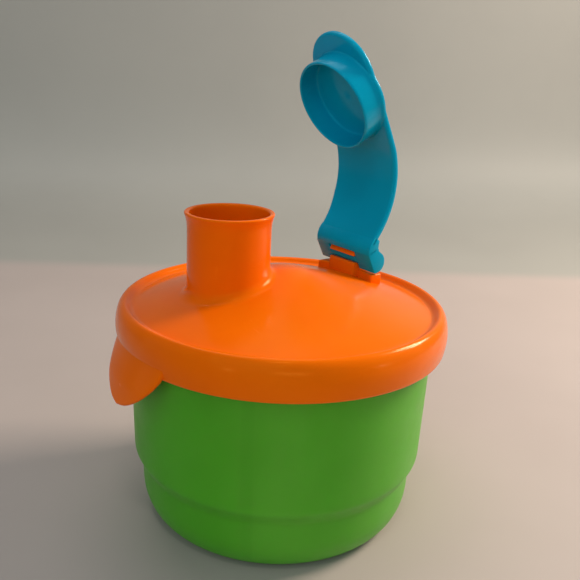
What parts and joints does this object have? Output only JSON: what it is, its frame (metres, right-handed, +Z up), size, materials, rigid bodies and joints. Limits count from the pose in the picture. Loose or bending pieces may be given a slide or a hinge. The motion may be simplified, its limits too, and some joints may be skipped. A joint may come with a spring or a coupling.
{
  "type": "formula dispenser",
  "caption": "Round snap-lid powder dispenser with a divided cup, a domed turning lid, a pouring spout, a pull tab and a hinged flip cap.",
  "frame": {"origin": "centre of the cup's foot, on the surface it stands on", "axes": "+Z up along the cup's axis, -X towards the lid's pull tab, +X towards the flip cap's hinge"},
  "size_m": [0.1215, 0.116, 0.1691],
  "materials": {
    "cup_green": "satin, slightly see-through polypropylene",
    "divider_green": "satin polypropylene",
    "lid_orange": "glossy polypropylene",
    "cap_teal": "glossy polypropylene"
  },
  "bodies": {
    "container": {"container": "cup_green"},
    "divider": {"divider": "divider_green"},
    "lid": {"lid": "lid_orange"},
    "flip_cap": {"flip_cap": "cap_teal"}
  },
  "joints": [
    {"name": "divider_lift", "type": "slide", "parent": "container", "child": "divider", "axis": [0, 0, 1], "range_m": [0, 0.095]},
    {"name": "lid_turn", "type": "hinge", "parent": "divider", "child": "lid", "pos_m": [0, 0, 0.0657], "axis": [0, 0, 1], "continuous": true},
    {"name": "cap_hinge", "type": "hinge", "parent": "lid", "child": "flip_cap", "pos_m": [0.0352, 0.0058, 0.089], "axis": [0, 1, 0], "range_deg": [-62.9, 79]}
  ]
}
